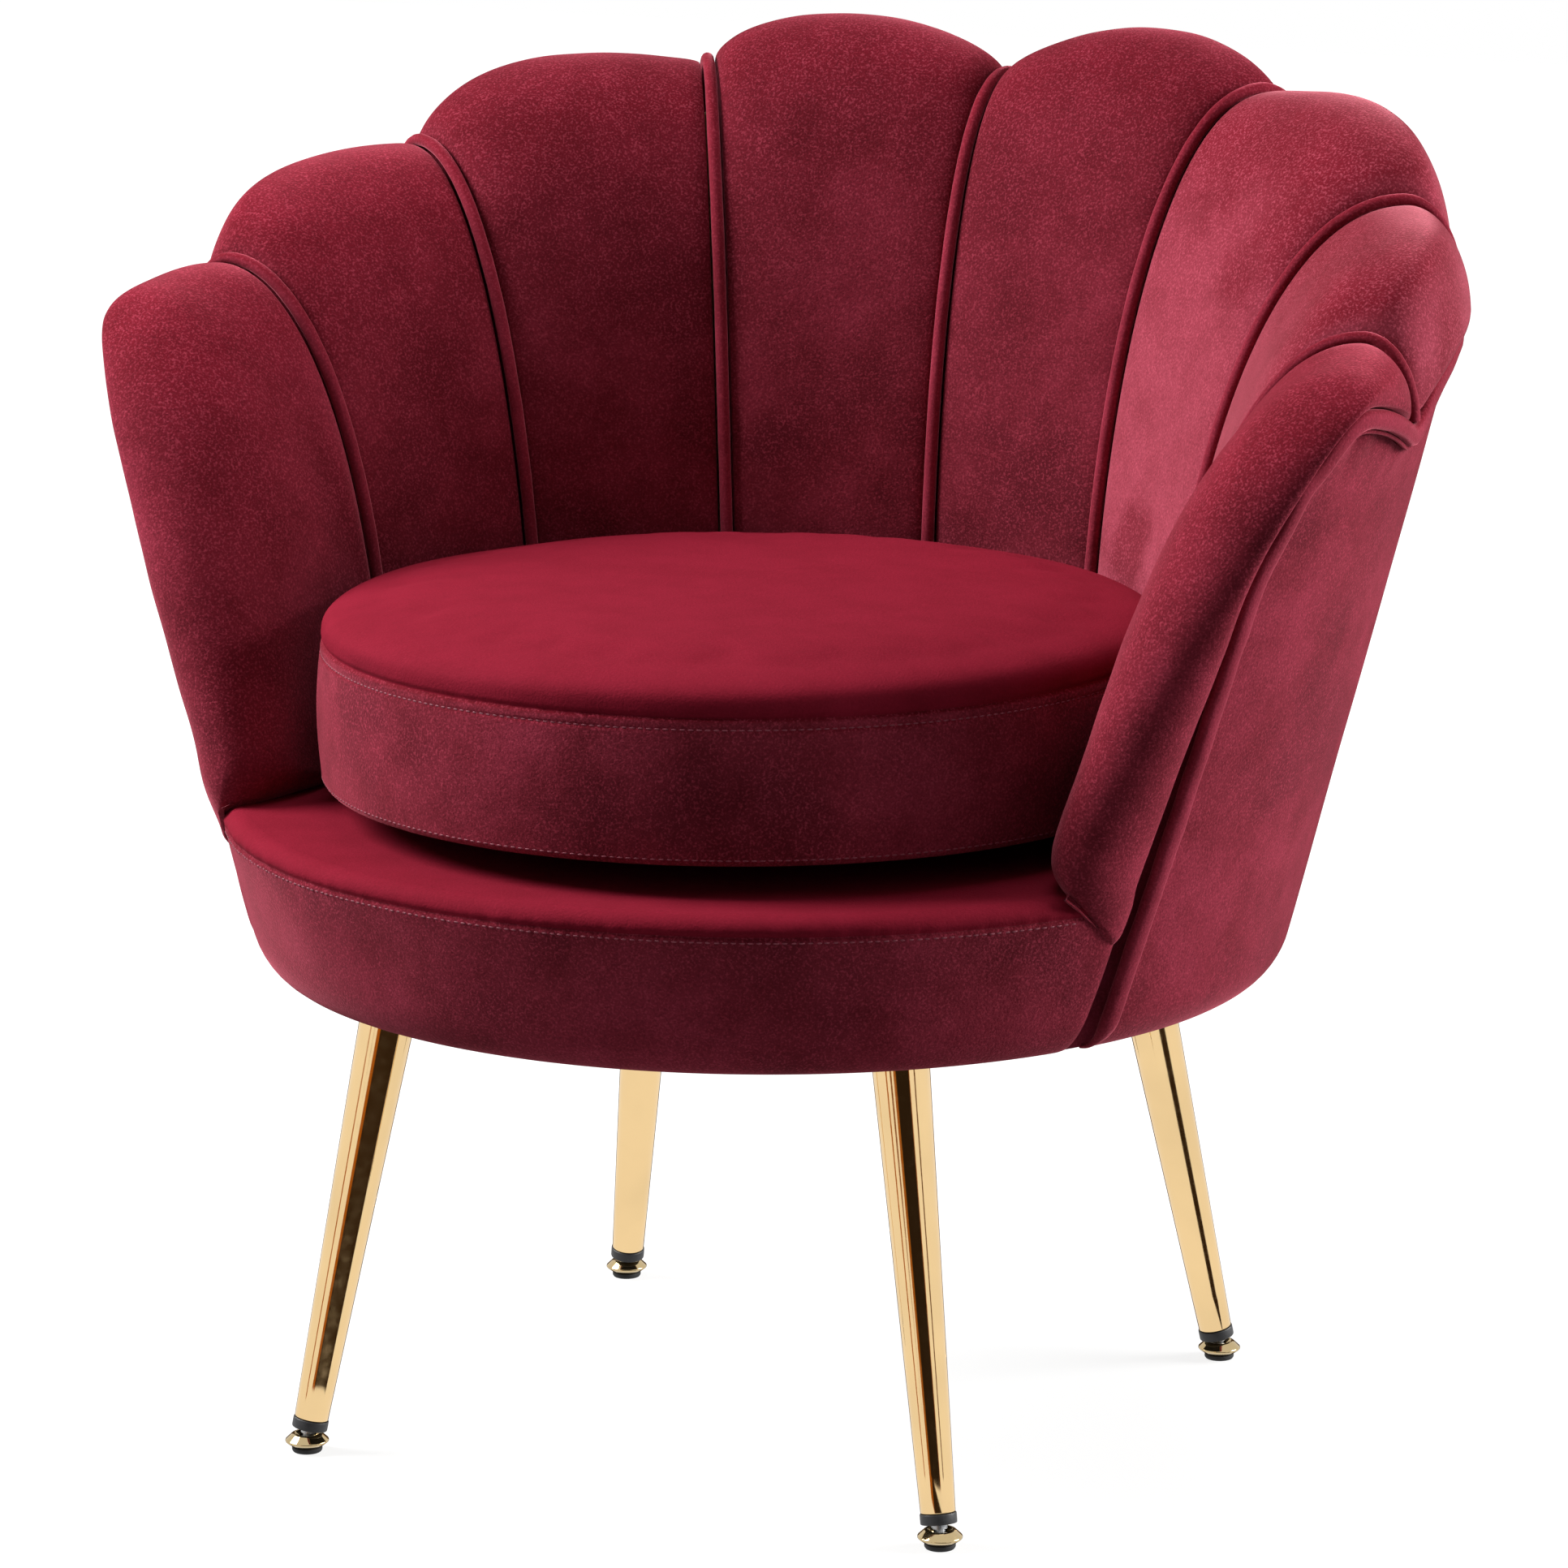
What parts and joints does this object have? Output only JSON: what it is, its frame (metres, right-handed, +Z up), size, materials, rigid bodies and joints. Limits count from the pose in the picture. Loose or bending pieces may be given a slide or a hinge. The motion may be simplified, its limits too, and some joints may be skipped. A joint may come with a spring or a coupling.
{
  "type": "scallop back chair",
  "caption": "Upholstered tub chair with a scalloped back of padded petals round the sides, a loose round seat cushion and splayed tapered metal legs with levelling feet.",
  "frame": {"origin": "on the floor, under the middle of the chair's outline", "axes": "+Z up, +X to the chair's right as it is seen from the front, the chair faces -Y"},
  "size_m": [0.7958, 0.6788, 0.7871],
  "materials": {
    "velvet": "wine red velvet",
    "velvet_cord": "wine red velvet over a cord",
    "plywood": "raw plywood",
    "foam": "open foam",
    "webbing": "woven webbing",
    "lining": "thin black lining cloth",
    "gold": "polished pale gold plating",
    "steel": "zinc plated",
    "black_plastic": "moulded black plastic",
    "black_rubber": "black rubber"
  },
  "bodies": {
    "chair": {"back_petal_1": "velvet", "back_petal_2": "velvet", "back_petal_3": "velvet", "back_petal_4": "velvet", "back_petal_5": "velvet", "back_petal_6": "velvet", "back_petal_7": "velvet", "back_petal_8": "velvet", "petal_piping_1": "velvet_cord", "petal_piping_2": "velvet_cord", "petal_piping_3": "velvet_cord", "petal_piping_4": "velvet_cord", "petal_piping_5": "velvet_cord", "petal_piping_6": "velvet_cord", "petal_piping_7": "velvet_cord", "outside_cover": "velvet", "outside_welt": "velvet_cord", "back_board": "plywood", "front_band": "velvet", "front_board": "plywood", "deck_cloth": "velvet", "deck_foam": "foam", "seat_ring": "plywood", "webbing_across_1": "webbing", "webbing_along_1": "webbing", "webbing_across_2": "webbing", "webbing_along_2": "webbing", "base_board": "plywood", "base_lining": "lining", "leg_front_left": "gold", "leg_nut_front_left": "steel", "leg_block_front_left": "plywood", "leg_collar_front_left": "black_plastic", "leg_front_right": "gold", "leg_nut_front_right": "steel", "leg_block_front_right": "plywood", "leg_collar_front_right": "black_plastic", "leg_back_left": "gold", "leg_nut_back_left": "steel", "leg_block_back_left": "plywood", "leg_collar_back_left": "black_plastic", "leg_back_right": "gold", "leg_nut_back_right": "steel", "leg_block_back_right": "plywood", "leg_collar_back_right": "black_plastic"},
    "cushion": {"cushion_cover": "velvet", "cushion_foam": "foam", "cushion_zip": "black_plastic"},
    "screw_front_left": {"foot_stem_front_left": "steel"},
    "glide_front_left": {"foot_disc_front_left": "gold", "foot_pad_front_left": "black_rubber"},
    "screw_front_right": {"foot_stem_front_right": "steel"},
    "glide_front_right": {"foot_disc_front_right": "gold", "foot_pad_front_right": "black_rubber"},
    "screw_back_left": {"foot_stem_back_left": "steel"},
    "glide_back_left": {"foot_disc_back_left": "gold", "foot_pad_back_left": "black_rubber"},
    "screw_back_right": {"foot_stem_back_right": "steel"},
    "glide_back_right": {"foot_disc_back_right": "gold", "foot_pad_back_right": "black_rubber"}
  },
  "joints": [
    {"name": "cushion_lift", "type": "slide", "parent": "chair", "child": "cushion", "axis": [0, 0, 1], "range_m": [0, 0.42]},
    {"name": "foot_screw_front_left", "type": "slide", "parent": "chair", "child": "screw_front_left", "axis": [-0.1533, -0.123, -0.9805], "range_m": [0, 0.008]},
    {"name": "glide_tilt_front_left", "type": "hinge", "parent": "screw_front_left", "child": "glide_front_left", "pos_m": [-0.20102, -0.22115, 0.00628], "axis": [-0.6257, 0.7801, 0], "range_deg": [-5, 12]},
    {"name": "foot_screw_front_right", "type": "slide", "parent": "chair", "child": "screw_front_right", "axis": [0.1533, -0.123, -0.9805], "range_m": [0, 0.008]},
    {"name": "glide_tilt_front_right", "type": "hinge", "parent": "screw_front_right", "child": "glide_front_right", "pos_m": [0.20102, -0.22115, 0.00628], "axis": [-0.6257, -0.7801, 0], "range_deg": [-5, 12]},
    {"name": "foot_screw_back_left", "type": "slide", "parent": "chair", "child": "screw_back_left", "axis": [-0.1527, 0.151, -0.9767], "range_m": [0, 0.008]},
    {"name": "glide_tilt_back_left", "type": "hinge", "parent": "screw_back_left", "child": "glide_back_left", "pos_m": [-0.20103, 0.18157, 0.00625], "axis": [0.703, 0.7112, 0], "range_deg": [-5, 12]},
    {"name": "foot_screw_back_right", "type": "slide", "parent": "chair", "child": "screw_back_right", "axis": [0.1527, 0.151, -0.9767], "range_m": [0, 0.008]},
    {"name": "glide_tilt_back_right", "type": "hinge", "parent": "screw_back_right", "child": "glide_back_right", "pos_m": [0.20103, 0.18157, 0.00625], "axis": [0.703, -0.7112, 0], "range_deg": [-5, 12]}
  ]
}
